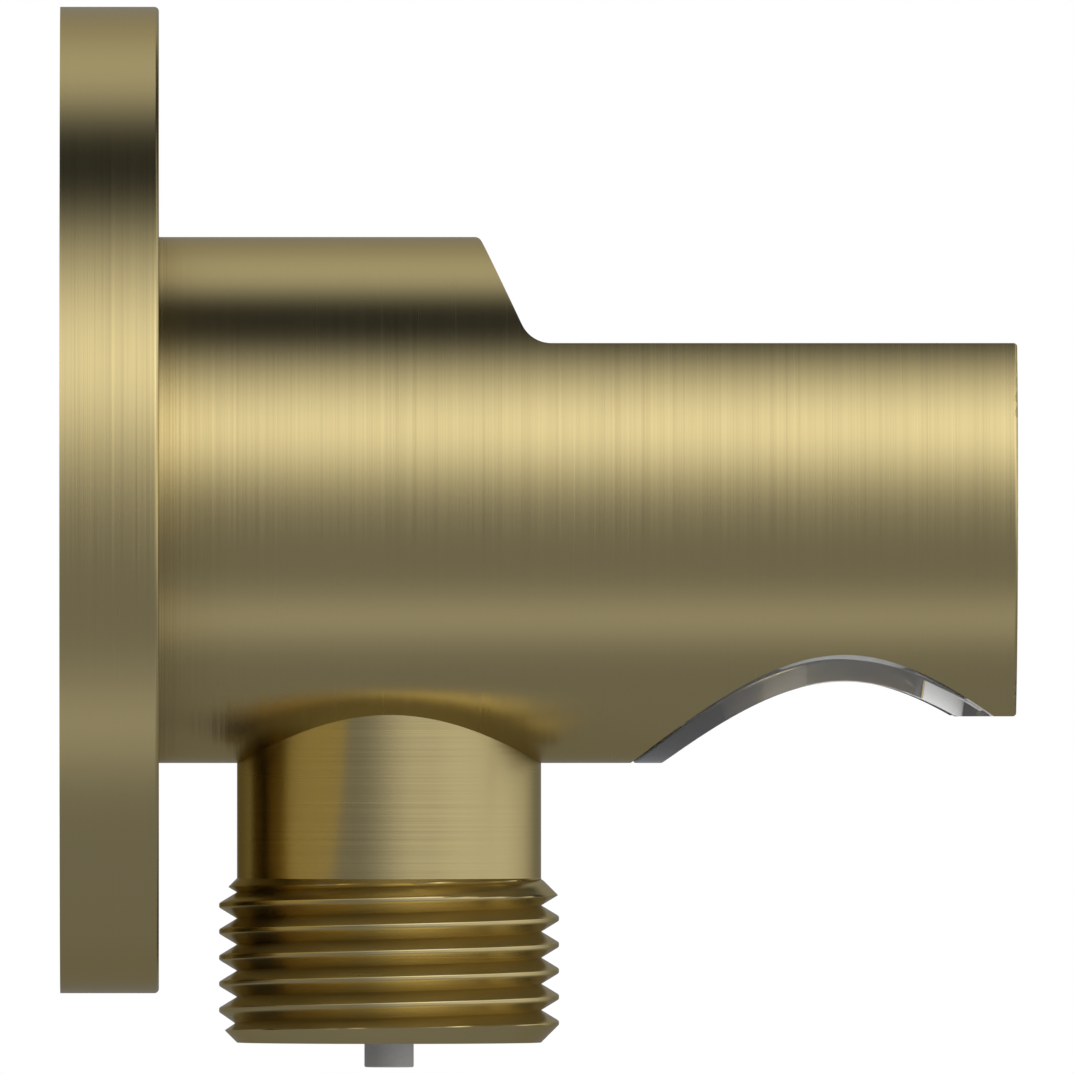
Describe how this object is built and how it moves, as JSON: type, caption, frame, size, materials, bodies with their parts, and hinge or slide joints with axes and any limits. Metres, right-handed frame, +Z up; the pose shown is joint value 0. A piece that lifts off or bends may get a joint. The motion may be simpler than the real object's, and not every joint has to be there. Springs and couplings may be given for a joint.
{
  "type": "wall outlet elbow",
  "caption": "Wall outlet elbow for a shower hose: round rosette, horizontal body with a threaded outlet below and a stepped arm with a lined handset hole.",
  "frame": {"origin": "on the wall plane, on the axis of the horizontal body", "axes": "+X out of the wall along the body, +Y to the left as seen from the room, +Z up"},
  "size_m": [0.058, 0.06, 0.0645],
  "materials": {
    "brushed_gold": "brushed, PVD gold",
    "liner_plastic": "glossy grey",
    "valve_plastic": "matt grey",
    "seal_rubber": "matt black",
    "gasket_foam": "closed-cell foam",
    "spring_steel": "drawn wire"
  },
  "bodies": {
    "fitting": {"body": "brushed_gold", "wall_rosette": "brushed_gold", "rosette_o_ring": "seal_rubber", "wall_gasket": "gasket_foam", "outlet_nipple": "brushed_gold", "nipple_o_ring": "seal_rubber", "holder_liner": "liner_plastic", "valve_housing": "valve_plastic", "valve_o_ring": "seal_rubber", "valve_guide": "valve_plastic", "valve_spring": "spring_steel"},
    "poppet": {"valve_poppet": "valve_plastic", "poppet_seal": "seal_rubber"}
  },
  "joints": [
    {"name": "check_valve_slide", "type": "slide", "parent": "fitting", "child": "poppet", "axis": [0, 0, -1], "range_m": [0, 0.0025], "stiffness_N_per_m": 100, "springref_m": -0.002, "deforming": ["valve_spring"]}
  ]
}
